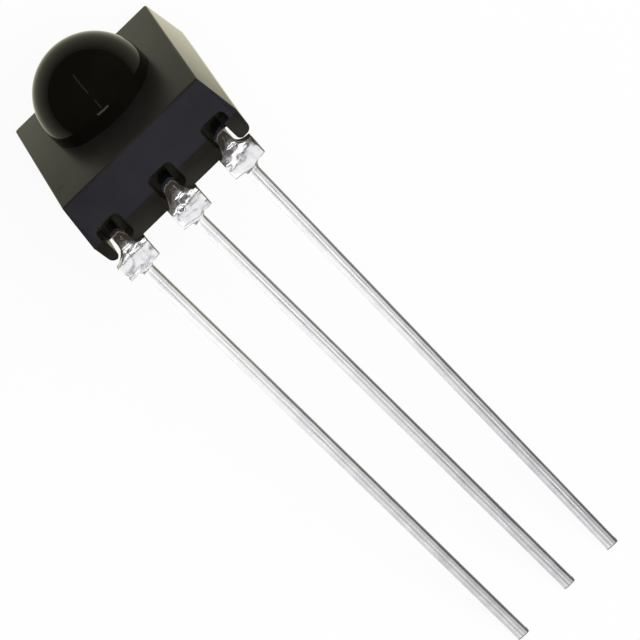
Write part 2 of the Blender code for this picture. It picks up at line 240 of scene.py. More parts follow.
def smooth_step(value):
    value = min(max(value, 0.0), 1.0)
    return value * value * (3.0 - 2.0 * value)


def bell(distance, reach):
    return math.exp(-((distance / reach) ** 2))


def quarter(steps, start=0.0, end=90.0):
    """Angles from start to end degrees, in radians, both ends included."""
    return [math.radians(start + (end - start) * i / steps) for i in range(steps + 1)]


def spread(low, high, count):
    return [low + (high - low) * i / count for i in range(count + 1)]


def thinned(values, least):
    """The values in order, less those that crowd the one before."""
    kept = []
    for value in sorted(values):
        if not kept or value - kept[-1] > least:
            kept.append(value)
    return kept


def loft(rings):
    """A closed solid through rings of the same number of points."""
    bm = bmesh.new()
    rows = [[bm.verts.new(point) for point in ring] for ring in rings]
    for near, far in zip(rows, rows[1:]):
        for i in range(len(near)):
            bm.faces.new((near[i - 1], near[i], far[i], far[i - 1]))
    bm.faces.new(rows[0][::-1])
    bm.faces.new(rows[-1])
    bmesh.ops.recalc_face_normals(bm, faces=bm.faces)
    return bm


def mesh_object(name, bm):
    mesh = bpy.data.meshes.new(name)
    bm.to_mesh(mesh)
    bm.free()
    made = bpy.data.objects.new(name, mesh)
    bpy.context.scene.collection.objects.link(made)
    return made


def combined(target, forms, operation):
    """Applies a Boolean with each form to the target, and removes the forms."""
    for form in forms:
        modifier = target.modifiers.new(form.name, "BOOLEAN")
        modifier.operation = operation
        modifier.solver = "EXACT"
        modifier.object = form
    graph = bpy.context.evaluated_depsgraph_get()
    mesh = bpy.data.meshes.new_from_object(target.evaluated_get(graph))
    target.modifiers.clear()
    target.data = mesh
    for form in forms:
        bpy.data.objects.remove(form)


def finish_piece(made, materials, sharp_degrees):
    """Places a piece, shades it and ties it to the frame."""
    made.data.transform(MODULE)
    made.data.shade_smooth()
    made.data.set_sharp_from_angle(angle=math.radians(sharp_degrees))
    for material in materials:
        made.data.materials.append(material)
    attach(made, "root")


def corner(centre_x, centre_y, radius, start, end, steps=8):
    return [
        (centre_x + radius * math.cos(angle), centre_y + radius * math.sin(angle))
        for angle in quarter(steps, start, end)
    ]


# Body

def rear_profile(y, half, slope, radius):
    """A rear flank with its rounded corner: distance from the middle at depth y."""
    centre_y = BODY_DEPTH - radius
    if y <= centre_y + radius * math.sin(slope):
        return half - (y - FRONT_DEPTH) * math.tan(slope)
    edge = half * math.cos(slope) + FRONT_DEPTH * math.sin(slope)
    centre = (edge - radius - centre_y * math.sin(slope)) / math.cos(slope)
    return centre + math.sqrt(max(radius**2 - (y - centre_y) ** 2, 0.0))


def flank(y, half, front_draft, rear_draft, rear_radius):
    """Distance of one side of the body from its middle at depth y."""
    flash = FLASH_HEIGHT * max(0.0, 1.0 - abs(y - FRONT_DEPTH) / FLASH_WIDTH)
    if y > FRONT_DEPTH:
        return rear_profile(y, half, rear_draft, rear_radius) + flash
    edge = half - (FRONT_DEPTH - y) * math.tan(front_draft)
    if y < FRONT_EDGE_RADIUS:
        edge -= FRONT_EDGE_RADIUS - math.sqrt(FRONT_EDGE_RADIUS**2 - (FRONT_EDGE_RADIUS - y) ** 2)
    return edge + flash


def body_stations():
    """The depths at which the body is drawn: dense at its edges and at the flash."""
    depths = [FRONT_EDGE_RADIUS * (1.0 - math.cos(angle)) for angle in quarter(EDGE_STEPS)]
    depths += [FRONT_DEPTH + FLASH_WIDTH * side for side in FLASH_SECTIONS]
    for radius, slope in ((SIDE_REAR_RADIUS, SIDE_REAR_DRAFT), (END_REAR_RADIUS, END_REAR_DRAFT)):
        angles = quarter(REAR_EDGE_STEPS, math.degrees(slope))
        depths += [BODY_DEPTH - radius + radius * math.sin(angle) for angle in angles]
    return thinned(depths, BODY_SPACING)


def body_ring(y):
    """The body's outline at depth y: a rectangle with rounded corners."""
    half = flank(y, BODY_WIDTH / 2, SIDE_DRAFT, SIDE_REAR_DRAFT, SIDE_REAR_RADIUS)
    top = flank(y, BODY_HEIGHT / 2, LEAD_FACE_DRAFT, END_REAR_DRAFT, END_REAR_RADIUS)
    bottom = -flank(y, BODY_HEIGHT / 2, FAR_FACE_DRAFT, END_REAR_DRAFT, END_REAR_RADIUS)
    radius = CORNER_RADIUS
    ring = []
    corners = ((1, top, 0.0), (-1, top, 90.0), (-1, bottom, 180.0), (1, bottom, 270.0))
    for side, edge_z, start in corners:
        centre_x = side * (half - radius)
        centre_z = edge_z - radius if edge_z > 0 else edge_z + radius
        for x, z in corner(centre_x, centre_z, radius, start, start + 90.0, EDGE_STEPS):
            ring.append(Vector((x, y, z)))
    return ring


def dome_profile():
    """Distance from the lens's axis and depth, from inside the body to just before the top."""
    fillet = []
    for angle in quarter(DOME_FILLET_STEPS, DOME_FILLET_START):
        rise = DOME_FILLET * (1.0 - math.cos(angle))
        fillet.append((DOME_RADIUS + DOME_FILLET * (1.0 - math.sin(angle)), -rise))
    ball = [
        (DOME_RADIUS * math.cos(angle), -DOME_FOOT - DOME_RADIUS * math.sin(angle))
        for angle in quarter(DOME_RINGS)[:-1]
    ]
    return [(DOME_RADIUS + DOME_FILLET, DOME_ROOT), (fillet[0][0], DOME_SKIRT)] + fillet + ball


def dome_form():
    """The lens: a half ball on a short round foot with a small fillet, rooted in the body."""
    bm = bmesh.new()
    rows = []
    for radius, y in dome_profile():
        row = []
        for i in range(DOME_SEGMENTS):
            angle = 2.0 * math.pi * i / DOME_SEGMENTS
            place = (radius * math.cos(angle) + DOME_ASIDE, y, radius * math.sin(angle) - DOME_OFFSET)
            row.append(bm.verts.new(place))
        rows.append(row)
    apex = bm.verts.new((DOME_ASIDE, -DOME_FOOT - DOME_RADIUS, -DOME_OFFSET))
    for near, far in zip(rows, rows[1:]):
        for i in range(DOME_SEGMENTS):
            bm.faces.new((near[i - 1], near[i], far[i], far[i - 1]))
    for i in range(DOME_SEGMENTS):
        bm.faces.new((rows[-1][i - 1], rows[-1][i], apex))
    bm.faces.new(rows[0][::-1])
    bmesh.ops.recalc_face_normals(bm, faces=bm.faces)
    return mesh_object("dome_form", bm)


def lead_face_z(y):
    draft = LEAD_FACE_DRAFT if y < FRONT_DEPTH else END_REAR_DRAFT
    return LEAD_FACE_Z - abs(y - FRONT_DEPTH) * math.tan(draft)


def recess_cutter(name, outline, lead, depth):
    """A blind recess whose mouth is rounded over. The outline takes the lead and an offset."""
    rings = [[Vector((x, y, LEAD_FACE_Z - depth)) for x, y in outline(lead, 0.0)]]
    for angle in quarter(MOUTH_STEPS, 0.0, MOUTH_TURN):
        offset = MOUTH_RADIUS * (1.0 - math.cos(angle))
        rise = -MOUTH_RADIUS * (1.0 - math.sin(angle))
        rings.append([Vector((x, y, lead_face_z(y) + rise)) for x, y in outline(lead, offset)])
    rings.append([Vector((x, y, lead_face_z(y) + CUTTER_REACH)) for x, y in outline(lead, offset)])
    return mesh_object(name, loft(rings))


def recess_outline(lead, offset):
    """Plan of a recess: round corners, and no wider than the ear's wall behind the parting."""
    x = lead["pitches"] * LEAD_PITCH
    half = RECESS_WIDTH / 2
    low = max(-half, lead["ear"]) if lead["ear"] and lead["ear"] < 0 else -half
    high = min(half, lead["ear"]) if lead["ear"] and lead["ear"] > 0 else half
    near, far = RECESS_FRONT_RADIUS + offset, RECESS_REAR_RADIUS + offset
    front = FRONT_DEPTH - RECESS_FRONT - offset
    rear = FRONT_DEPTH + RECESS_REAR + offset
    left, right = x - half - offset, x + half + offset
    low, high = x + low - offset, x + high + offset
    points = corner(left + near, front + near, near, 180.0, 270.0)
    points += corner(right - near, front + near, near, 270.0, 360.0)
    points += [(right, FRONT_DEPTH), (high, EAR_START)]
    points += corner(high - far, rear - far, far, 0.0, 90.0)
    points += corner(low + far, rear - far, far, 90.0, 180.0)
    return points + [(low, EAR_START), (left, FRONT_DEPTH)]


def slot_outline(lead, offset):
    """Plan of the slot from the ear's wall to the middle of the neck, open to the rear."""
    x = lead["pitches"] * LEAD_PITCH
    low = x + min(lead["ear"], lead["neck"]) - offset
    high = x + max(lead["ear"], lead["neck"]) + offset
    radius = SLOT_MOUTH_RADIUS
    mouth = BODY_DEPTH - radius
    behind = BODY_DEPTH + CUTTER_REACH
    points = [(low, SLOT_START), (high, SLOT_START)]
    points += corner(high + radius, mouth, radius, 180.0, 90.0)
    points += [(high + radius, behind), (low - radius, behind)]
    return points + corner(low - radius, mouth, radius, 90.0, 0.0)


def build_body(flat_finish, dome_finish):
    body = mesh_object("moulded_body", loft([body_ring(y) for y in body_stations()]))
    combined(body, [dome_form()], "UNION")
    cutters = []
    for name, lead in LEADS.items():
        cutters.append(recess_cutter(f"{name}_recess", recess_outline, lead, RECESS_DEPTH))
        if lead["ear"]:
            cutters.append(recess_cutter(f"{name}_slot", slot_outline, lead, SLOT_DEPTH))
    combined(body, cutters, "DIFFERENCE")
    for face in body.data.polygons:
        off_axis = math.hypot(face.center.x - DOME_ASIDE, face.center.z + DOME_OFFSET)
        on_dome = face.center.y < -DOME_FINISH_RISE and off_axis < DOME_RADIUS + DOME_FILLET
        face.material_index = 1 if on_dome else 0
    finish_piece(body, [flat_finish, dome_finish], BODY_SHARP_ANGLE)
    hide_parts("epoxy_body")


# Leads

def bent_place(along):
    """Middle of the blank and its outward direction, in Y and Z, once it is bent."""
    if along <= BEND_START:
        return Vector((FRONT_DEPTH, along)), Vector((-1.0, 0.0))
    if along <= BEND_END:
        turn = (along - BEND_START) / BEND_RADIUS
        outward = Vector((-math.cos(turn), math.sin(turn)))
        return Vector((FRONT_DEPTH + BEND_RADIUS, BEND_START)) + BEND_RADIUS * outward, outward
    return Vector((FRONT_DEPTH + BEND_RADIUS + along - BEND_END, RUN_Z)), Vector((0.0, 1.0))


def rounded_in(distance, radius):
    """How far a corner of that radius draws an edge in at a distance from its end."""
    if distance >= radius:
        return 0.0
    return radius - math.sqrt(max(radius**2 - (radius - max(distance, 0.0)) ** 2, 0.0))


def side_at(side, along, tip):
    """One side's distance from the pitch line, or from the run's middle past the tab."""
    flare, front = side.flare * MM, side.front * MM
    if along <= flare:
        share = smooth_step((along - LEAD_FACE_Z) / (flare - LEAD_FACE_Z))
        return (side.neck + (side.neck_end - side.neck) * share) * MM
    if along <= front:
        share = (along - flare) / (front - flare)
        curve = 1.0 - (1.0 - share**side.sharpness) ** (1.0 / side.sharpness)
        drawn = rounded_in(front - along, PLAN_RADIUS) if share > FLARE_CORNER else 0.0
        widening = side.first - PLAN_RADIUS / MM - side.neck_end
        return (side.neck_end + widening * curve) * MM - drawn
    if along <= TAB_END:
        share = (along - front) / (TAB_END - front)
        edge = (side.first + (side.last - side.first) * share) * MM
        return edge - rounded_in(along - front, PLAN_RADIUS) - rounded_in(TAB_END - along, PLAN_RADIUS)
    burr = TIP_BURR * max(0.0, 1.0 - (tip - along) / TIP_BURR_LENGTH)
    return LEAD_WIDTH / 2 + TIN_FILM + burr + rounded_in(along - TAB_END, side.fillet * MM)


def lead_stations(lead, tip):
    """Where along its blank a lead is drawn: stretches with their steps, and the plan's corners."""
    sides = (lead["plus"], lead["minus"])
    roof = LEAD_FACE_Z - RECESS_DEPTH
    flare = min(side.flare for side in sides) * MM
    tab = max(side.front for side in sides) * MM
    stretches = (
        (roof - INNER_LENGTH, roof, 4),
        (roof, flare, 40),
        (flare, tab, 60),
        (tab, TAB_END - PLAN_RADIUS, 34),
        (TAB_END + PAST_TAB, TAB_END + NEAR_TAB, 16),
        (TAB_END + NEAR_TAB, tip - NEAR_TIP, 150),
        (tip - NEAR_TIP, tip - TIP_RADIUS, 8),
    )
    stations = [place for low, high, count in stretches for place in spread(low, high, count)]
    for start in (side.front * MM for side in sides):
        stations += [start - BEFORE_CORNER, start + AFTER_CORNER]
        stations += [start + PLAN_RADIUS * (1.0 - math.cos(angle)) for angle in quarter(4)[1:]]
    stations += [TAB_END - PLAN_RADIUS * (1.0 - math.cos(angle)) for angle in quarter(4)]
    stations += [TAB_END + PAST_TAB * (1.0 - math.cos(angle)) for angle in quarter(20)]
    return thinned(stations, LEAD_SPACING)


def tab_share(along):
    """1 on the tab, 0 on the neck and on the thin end."""
    share = smooth_step((along - RELIEF_START) / RELIEF_RISE)
    return share * (1.0 - smooth_step((along - RELIEF_STOP) / RELIEF_FALL))


def tab_relief(across, run, side, lead):
    """Height of the tin on a tab, in mm."""
    place = Vector((across, run, lead["seed"] + side))
    wrinkle = abs(noise.noise(place * FINE_SCALE)) - WRINKLE_MEAN
    height = WAVE_HEIGHT * noise.noise(place * WAVE_SCALE) + WRINKLE_HEIGHT * wrinkle
    curved = TAB_CURVE_END - min(max(run, TAB_CURVE_START), TAB_CURVE_END)
    height -= TAB_CROWN * across**2 + TAB_CURVE * curved**2
    if "pit" in lead and side > 0:
        distance = math.hypot(across - lead["pit"][0], run - lead["pit"][1])
        height -= PIT_DEPTH * bell(distance, PIT_REACH)
    return height


def run_relief(across, run, side, lead):
    """Height of the tin on a thin end, in mm."""
    place = Vector((across * STREAK_SCALE[0], run * STREAK_SCALE[1], lead["seed"] * 2.0 + side))
    height = STREAK_HEIGHT * noise.noise(place) - STREAK_DROP
    height += FINE_STREAK_HEIGHT * noise.noise(place * FINE_SCALE)
    height -= PLUS_FALL * max(0.0, across - PLUS_FALL_START) ** 2
    height -= MINUS_FALL * max(0.0, -MINUS_FALL_START - across) ** 2
    ridge = RIDGE_HEIGHT * bell(across - RIDGE_PLACE, LINE_REACH)
    groove = GROOVE_DEPTH * bell(across - GROOVE_PLACE, LINE_REACH)
    return height + ridge - groove


def tin_height(across, along, side, lead):
    """How far the tin stands off the blank. Side is 1 on the outer face and -1 on the inner."""
    where = (across / MM, along / MM, side, lead)
    tab = tab_share(along)
    return (tab * tab_relief(*where) + (1.0 - tab) * run_relief(*where)) * MM


def section(half_plus, half_minus, thick, radius):
    """Points of a rectangle with rounded corners: (across, out), counter-clockwise from +across."""
    corner_steps, plain_steps = 6, (26, 4)
    corners = ((half_plus, thick), (-half_minus, thick), (-half_minus, -thick), (half_plus, -thick))
    arcs = []
    for i, (across, out) in enumerate(corners):
        centre = (across - math.copysign(radius, across), out - math.copysign(radius, out))
        arcs.append(corner(*centre, radius, 90.0 * i, 90.0 * (i + 1), corner_steps))
    points = []
    for i, bend in enumerate(arcs):
        points += bend
        start, end = Vector(bend[-1]), Vector(arcs[(i + 1) % 4][0])
        steps = plain_steps[i % 2]
        points += [tuple(start.lerp(end, j / steps)) for j in range(1, steps)]
    return points


def lead_ring(lead, along, tip, shrink=0.0, advance=0.0):
    """One section of a lead, square to the bent blank, with its tin."""
    plus = side_at(lead["plus"], along, tip) - shrink
    minus = side_at(lead["minus"], along, tip) - shrink
    thick = LEAD_THICKNESS / 2 - shrink
    middle, outward = bent_place(along)
    share = max(0.0, (along - TAB_END) / (tip - TAB_END))
    shift = lead["shift"] if along > TAB_END else 0.0
    centre = lead["pitches"] * LEAD_PITCH + shift + lead["lean"] * share
    rise = lead["extra"] * math.tan(-MODULE_TILT) * share
    step_down = STEP_DOWN * smooth_step((along - TAB_END) / STEP_LENGTH)
    ring = []
    for across, out in section(plus, minus, thick, max(EDGE_RADIUS - shrink, LEAST_EDGE_RADIUS)):
        side = 1.0 if out > 0 else -1.0
        facing = max(0.0, abs(out) / thick) ** 3
        tin = tin_height(across, along, side, lead) * facing * side
        lowered = step_down * facing if side > 0 else 0.0
        y, z = middle + outward * (out + tin - lowered)
        ring.append(Vector((centre + across, y + advance, z + rise)))
    return ring


def build_lead(name, finish):
    lead = LEADS[name]
    tip = BEND_END + BODY_DEPTH + LEAD_REACH + lead["extra"] - FRONT_DEPTH - BEND_RADIUS
    rings = [lead_ring(lead, along, tip) for along in lead_stations(lead, tip)]
    for angle in quarter(3, TIP_ROUND_START):
        shrink = TIP_RADIUS * (1.0 - math.cos(angle))
        rings.append(lead_ring(lead, tip - TIP_RADIUS, tip, shrink, TIP_RADIUS * math.sin(angle)))
    made = mesh_object(f"tinned_{name}", loft(rings))
    finish_piece(made, [finish], LEAD_SHARP_ANGLE)
    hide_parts(name)
    return made


# Materials

# A noise mostly lies between these two values
NOISE_LOW, NOISE_HIGH = 0.3, 0.7

# A pair of colours is the darkest and the lightest of a mottled surface. A noise is its scale
# per mm, detail and roughness, and its stretch if it has one. A bump is its strength and height.
# A zone is where along an axis of the module, in mm, one look turns into the next.
FRONT_SKIN = ((0.0165, 0.0158, 0.0138), (0.0225, 0.0214, 0.0188))
# Lead face: bluish, partly the epoxy's own tint and partly a painted reflection of bluish overhead light
LEAD_FACE_SKIN_AND_BLUE_SHEEN = ((0.0185, 0.0172, 0.0225), (0.0235, 0.0222, 0.0280))
REAR_SKIN = ((0.0145, 0.0132, 0.0110), (0.0205, 0.0190, 0.0160))
# Painted light: the recess walls are coloured lighter and browner, standing in for light in the recesses
RECESS_PAINTED_LIGHT = (0.040, 0.038, 0.027)
REAR_EDGE = (0.034, 0.031, 0.027)
REAR_EDGE_SHARE = 0.85
SKIN_CLOUD = (0.8, 5.0, 0.55)
SKIN_GRAIN = (26.0, 3.0, 0.6)
SKIN_ROUGHNESS = (0.32, 0.38)
SKIN_BUMP = (0.15, 0.002 * MM)
SKIN_IOR = 1.26
SIDE_POLISH = -0.28
PARTING_ZONE = (1.78, 1.82)
REAR_EDGE_ZONE = (2.0, 2.7)
RECESS_HEIGHT_ZONE = (3.2, 3.5)
RECESS_DEPTH_ZONE = (0.3, 0.5)
LEAD_FACE_ZONE = (4.10, 4.20)
FRONT_EDGE_ZONE = (0.04, 0.12)
SIDE_ZONE = (3.22, 3.27)

# A scratch on the front face: its middle, its turn and its half sizes, in mm
SCRATCH_MIDDLE = (2.89, 0.0, 2.62)
SCRATCH_TURN = math.radians(-15.3)
SCRATCH_SIZE = (0.17, 0.20, 0.028)
SCRATCH_EDGE = (0.6, 1.1)
SCRATCH_ROUGHNESS = 0.6

DOME_SKIN = ((0.0040, 0.0033, 0.0023), (0.0052, 0.0044, 0.0032))
DOME_WAVE = (0.9, 2.0, 0.4)
DOME_FLECK = (14.0, 3.0, 0.6)
DOME_ROUGHNESS = (0.04, 0.07)
DOME_BUMP = (0.10, 0.008 * MM)
DOME_IOR = 1.32

TAB_TIN = ((0.78, 0.78, 0.82), (0.90, 0.90, 0.91))
NEAR_TIN = ((0.77, 0.77, 0.79), (0.87, 0.87, 0.88))
# Painted shade: the thin ends darken from the near colours to these towards their tips
SHADED_FAR_TIN = ((0.42, 0.41, 0.43), (0.53, 0.53, 0.54))
TIN_CLOUD = (1.6, 5.0, 0.6)
TIN_STREAK = (6.0, 1.0, 0.5, (1.3, 0.08, 1.3))
TIN_PIT = (9.0, 1.0, 0.5)
TIN_ROUGHNESS = (0.20, 0.30)
TIN_POLISH = (-0.10, -0.04)
TIN_METALLIC = (1.0, 0.84)
STREAK_BUMP = (0.25, 0.004 * MM)
PIT_BUMP = (0.10, 0.002 * MM)
TAB_END_ZONE = (3.0, 3.6)
TIP_SHADE_ZONE = (3.5, 20.0)
POLISH_ZONE = (2.9, 3.6)
METALLIC_ZONE = (2.4, 3.2)

# Finishes of the sealed pieces, by the last word of a node's name
INNER_BUMP = (0.2, 0.002 * MM)
INNER_FINISHES = {
    "chip": {
        "name": "polished_silicon", "colours": ((0.08, 0.09, 0.12), (0.13, 0.14, 0.18)),
        "metallic": 0.5, "roughness": (0.12, 0.22), "mottle": (5.0, 3.0, 0.6),
    },
    "attach": {
        "name": "cured_silver_glue", "colours": ((0.45, 0.45, 0.42), (0.62, 0.62, 0.58)),
        "metallic": 0.6, "roughness": (0.4, 0.55), "mottle": (20.0, 3.0, 0.6),
    },
    "wire": {
        "name": "drawn_gold", "colours": ((0.90, 0.62, 0.22), (1.00, 0.76, 0.34)),
        "metallic": 1.0, "roughness": (0.18, 0.30), "mottle": (30.0, 3.0, 0.6),
    },
}


class Wiring:
    """The nodes of a material or of the world, and short ways to wire them."""

    def __init__(self, owner):
        owner.use_nodes = True
        self.nodes = owner.node_tree.nodes
        self.links = owner.node_tree.links

    def node(self, kind, **settings):
        made = self.nodes.new(kind)
        for name, value in settings.items():
            setattr(made, name, value)
        return made

    def feed(self, socket, value):
        """Links a socket, or gives it a fixed value."""
        if isinstance(value, bpy.types.NodeSocket):
            self.links.new(value, socket)
        elif socket.type == "RGBA":
            socket.default_value = (*value, 1.0)
        else:
            socket.default_value = value

    def fed(self, kind, inputs, **settings):
        """A new node with its inputs fed, each by its name or its place."""
        made = self.node(kind, **settings)
        for key, value in inputs.items():
            self.feed(made.inputs[key], value)
        return made

    def math(self, operation, first, second):
        return self.fed("ShaderNodeMath", {0: first, 1: second}, operation=operation).outputs[0]

    def blended(self, share, first, second):
        """One shader that turns into another as the share goes from 0 to 1."""
        return self.fed("ShaderNodeMixShader", {0: share, 1: first, 2: second}).outputs[0]

    def to_range(self, value, low, high, start=NOISE_LOW, end=NOISE_HIGH, interpolation="LINEAR"):
        """Maps start to low and end to high, and stays between them."""
        inputs = {"Value": value, "From Min": start, "From Max": end, "To Min": low, "To Max": high}
        remap = self.fed("ShaderNodeMapRange", inputs, interpolation_type=interpolation)
        return remap.outputs["Result"]


class Finish(Wiring):
    """A material on Principled BSDF. Its place runs in the module's frame, in millimetres."""

    def __init__(self, name):
        self.material = bpy.data.materials.new(name)
        super().__init__(self.material)
        self.shader = self.nodes["Principled BSDF"]
        texture_space = self.node("ShaderNodeTexCoord").outputs["Object"]
        frame_in_mm = {
            "Vector": texture_space,
            "Location": MODULE.inverted().translation / MM,
            "Rotation": (-MODULE_TILT, 0.0, 0.0),
            "Scale": (1.0 / MM,) * 3,
        }
        self.place = self.fed("ShaderNodeMapping", frame_in_mm).outputs["Vector"]

    def set(self, name, value):
        self.feed(self.shader.inputs[name], value)

    def noise(self, scale, detail, roughness, stretch=None):
        vector = self.place
        if stretch:
            stretched = self.fed("ShaderNodeMapping", {"Vector": vector, "Scale": stretch})
            vector = stretched.outputs["Vector"]
        inputs = {"Vector": vector, "Scale": scale, "Detail": detail, "Roughness": roughness}
        return self.fed("ShaderNodeTexNoise", inputs).outputs["Fac"]

    def mottled(self, value, dark, light):
        ramp = self.node("ShaderNodeValToRGB")
        stops = ((NOISE_LOW, dark), (NOISE_HIGH, light))
        for stop, (place, colour) in zip(ramp.color_ramp.elements, stops):
            stop.position = place
            stop.color = (*colour, 1.0)
        self.feed(ramp.inputs["Fac"], value)
        return ramp.outputs["Color"]

    def bump(self, height, strength, distance, before=None):
        inputs = {"Height": height, "Strength": strength, "Distance": distance}
        if before is not None:
            inputs["Normal"] = before
        return self.fed("ShaderNodeBump", inputs).outputs["Normal"]

    def past(self, axis, zone, low=0.0, high=1.0, vector=None):
        """Runs smoothly from low to high through a zone along an axis of the module."""
        vector = self.place if vector is None else vector
        parts = self.fed("ShaderNodeSeparateXYZ", {"Vector": vector})
        return self.to_range(parts.outputs[axis], low, high, *zone, "SMOOTHSTEP")

    def mixed(self, share, first, second):
        """One colour that turns into another as the share goes from 0 to 1."""
        mix = self.node("ShaderNodeMix", data_type="RGBA")
        inputs = {socket.identifier: socket for socket in mix.inputs}
        self.feed(inputs["Factor_Float"], share)
        self.feed(inputs["A_Color"], first)
        self.feed(inputs["B_Color"], second)
        return next(socket for socket in mix.outputs if socket.identifier == "Result_Color")

    def scratch(self):
        """1 in the scratch on the front face, 0 outside it."""
        middle = Matrix.Rotation(SCRATCH_TURN, 3, "Y") @ Vector(SCRATCH_MIDDLE)
        turning = {"Vector": self.place, "Location": -middle, "Rotation": (0.0, SCRATCH_TURN, 0.0)}
        turned = self.fed("ShaderNodeMapping", turning).outputs["Vector"]
        sizing = {"Vector": turned, "Scale": [1.0 / reach for reach in SCRATCH_SIZE]}
        sized = self.fed("ShaderNodeMapping", sizing).outputs["Vector"]
        away = self.fed("ShaderNodeVectorMath", {0: sized}, operation="LENGTH")
        return self.to_range(away.outputs["Value"], 1.0, 0.0, *SCRATCH_EDGE)


def satin_epoxy():
    """The moulded flats: satin black, bluish on the lead face, glossier on the sides, a scratch.
    The lead face's bluish tint is partly its own and partly a painted reflection of bluish light,
    and the recess walls are painted lighter, as painted light.
    """
    finish = Finish("satin_epoxy")
    cloud, grain = finish.noise(*SKIN_CLOUD), finish.noise(*SKIN_GRAIN)
    rear_edge = finish.past("Y", REAR_EDGE_ZONE, 0.0, REAR_EDGE_SHARE)
    rear = finish.mixed(rear_edge, finish.mottled(cloud, *REAR_SKIN), REAR_EDGE)
    behind = finish.past("Y", PARTING_ZONE)
    # Painted reflection: the lead face's front half is tinted bluish, on top of its own tint
    lead_face_with_sheen = finish.mixed(behind, finish.mottled(cloud, *LEAD_FACE_SKIN_AND_BLUE_SHEEN), rear)
    # Painted light: high and deep in the recesses the walls turn lighter
    high, deep = finish.past("Z", RECESS_HEIGHT_ZONE), finish.past("Y", RECESS_DEPTH_ZONE)
    recess_light_share = finish.math("MULTIPLY", high, deep)
    front_and_lit_recess = finish.mixed(recess_light_share, finish.mottled(cloud, *FRONT_SKIN), RECESS_PAINTED_LIGHT)
    above, inward = finish.past("Z", LEAD_FACE_ZONE), finish.past("Y", FRONT_EDGE_ZONE)
    finish.set("Base Color", finish.mixed(finish.math("MULTIPLY", above, inward), front_and_lit_recess, lead_face_with_sheen))
    folded = finish.fed("ShaderNodeVectorMath", {0: finish.place}, operation="ABSOLUTE")
    polish = finish.past("X", SIDE_ZONE, 0.0, SIDE_POLISH, folded.outputs["Vector"])
    satin = finish.math("ADD", finish.to_range(grain, *SKIN_ROUGHNESS), polish)
    dulled = finish.to_range(finish.scratch(), 0.0, SCRATCH_ROUGHNESS, 0.0, 1.0)
    finish.set("Roughness", finish.math("ADD", satin, dulled))
    finish.set("Normal", finish.bump(grain, *SKIN_BUMP))
    finish.set("IOR", SKIN_IOR)
    return finish.material


def dome_epoxy():
    """The lens: polished black with a very faint waviness."""
    finish = Finish("dome_epoxy")
    wave, fleck = finish.noise(*DOME_WAVE), finish.noise(*DOME_FLECK)
    finish.set("Base Color", finish.mottled(wave, *DOME_SKIN))
    finish.set("Roughness", finish.to_range(fleck, *DOME_ROUGHNESS))
    finish.set("Normal", finish.bump(wave, *DOME_BUMP))
    finish.set("IOR", DOME_IOR)
    return finish.material


def bright_tin():
    """Bright tin: glossy on the tabs, duller and drawn out along the thin ends.
    The thin ends darken towards their tips: painted shade.
    """
    finish = Finish("bright_tin")
    cloud, streak = finish.noise(*TIN_CLOUD), finish.noise(*TIN_STREAK)
    near, far = finish.mottled(cloud, *NEAR_TIN), finish.mottled(cloud, *SHADED_FAR_TIN)
    # Painted shade: the thin ends turn darker towards their tips
    run = finish.mixed(finish.past("Y", TIP_SHADE_ZONE), near, far)
    past_tab = finish.past("Y", TAB_END_ZONE)
    finish.set("Base Color", finish.mixed(past_tab, finish.mottled(cloud, *TAB_TIN), run))
    finish.set("Metallic", finish.past("Y", METALLIC_ZONE, *TIN_METALLIC))
    polish = finish.past("Y", POLISH_ZONE, *TIN_POLISH)
    finish.set("Roughness", finish.math("ADD", finish.to_range(streak, *TIN_ROUGHNESS), polish))
    lines = finish.bump(streak, *STREAK_BUMP)
    finish.set("Normal", finish.bump(finish.noise(*TIN_PIT), *PIT_BUMP, lines))
    return finish.material


def inner_finish(name, colours, metallic, roughness, mottle):
    """The sealed pieces: a faintly mottled finish."""
    finish = Finish(name)
    mottling = finish.noise(*mottle)
    finish.set("Base Color", finish.mottled(mottling, *colours))
    finish.set("Roughness", finish.to_range(mottling, *roughness))
    finish.set("Normal", finish.bump(mottling, *INNER_BUMP))
    finish.set("Metallic", metallic)
    return finish.material


def dress_inner_nodes():
    finishes = {word: inner_finish(**look) for word, look in INNER_FINISHES.items()}
    for name, node in frame["nodes"].items():
        finish = finishes.get(name.split("_")[-1])
        if finish:
            node.data.materials.clear()
            node.data.materials.append(finish)


# Stage and world

FLOOR_RADIUS = 400.0 * MM
FLOOR_SEGMENTS = 96
WHITE = (1.0, 1.0, 1.0)
PAPER = ((0.90, 0.90, 0.90), (0.93, 0.93, 0.93))
PAPER_FIBRE = (0.05, 4.0, 0.5)
PAPER_ROUGHNESS = 0.9
FLOOR_SHARE = 0.93

# The floor's glow in the part's reflections: distances from the body, in mm, with its level there
FLOOR_GLOW = (0.95, 0.92, 0.70)
GLOW_REACH = 60.0
GLOW_LEVELS = ((0.0, 1.0), (5.0, 1.0), (7.6, 0.70), (9.5, 0.56), (16.0, 0.48), (60.0, 0.25))

# The room's light, and what the part mirrors of it
SKY_COLOUR = (0.93, 0.95, 1.0)
SKY = 0.30
MIRRORED_SKY_COLOUR = (1.0, 0.82, 0.64)
MIRRORED_SKY = 0.045


def body_middle():
    low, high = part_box("epoxy_body")
    return (Vector(low) + Vector(high)) / 2


def glow_level(finish):
    """How brightly each place on the floor shows in the part's reflections."""
    place = finish.node("ShaderNodeTexCoord").outputs["Object"]
    foot = (body_middle().x, body_middle().y, 0.0)
    away = finish.fed("ShaderNodeVectorMath", {0: place, 1: foot}, operation="DISTANCE")
    fade = finish.node("ShaderNodeValToRGB")
    stops = fade.color_ramp.elements
    for i, (distance, level) in enumerate(GLOW_LEVELS):
        stop = stops[i] if i < 2 else stops.new(distance / GLOW_REACH)
        stop.position = distance / GLOW_REACH
        stop.color = (level, level, level, 1.0)
    reach = finish.to_range(away.outputs["Value"], 0.0, 1.0, 0.0, GLOW_REACH * MM)
    finish.feed(fade.inputs["Fac"], reach)
    return fade.outputs["Color"]


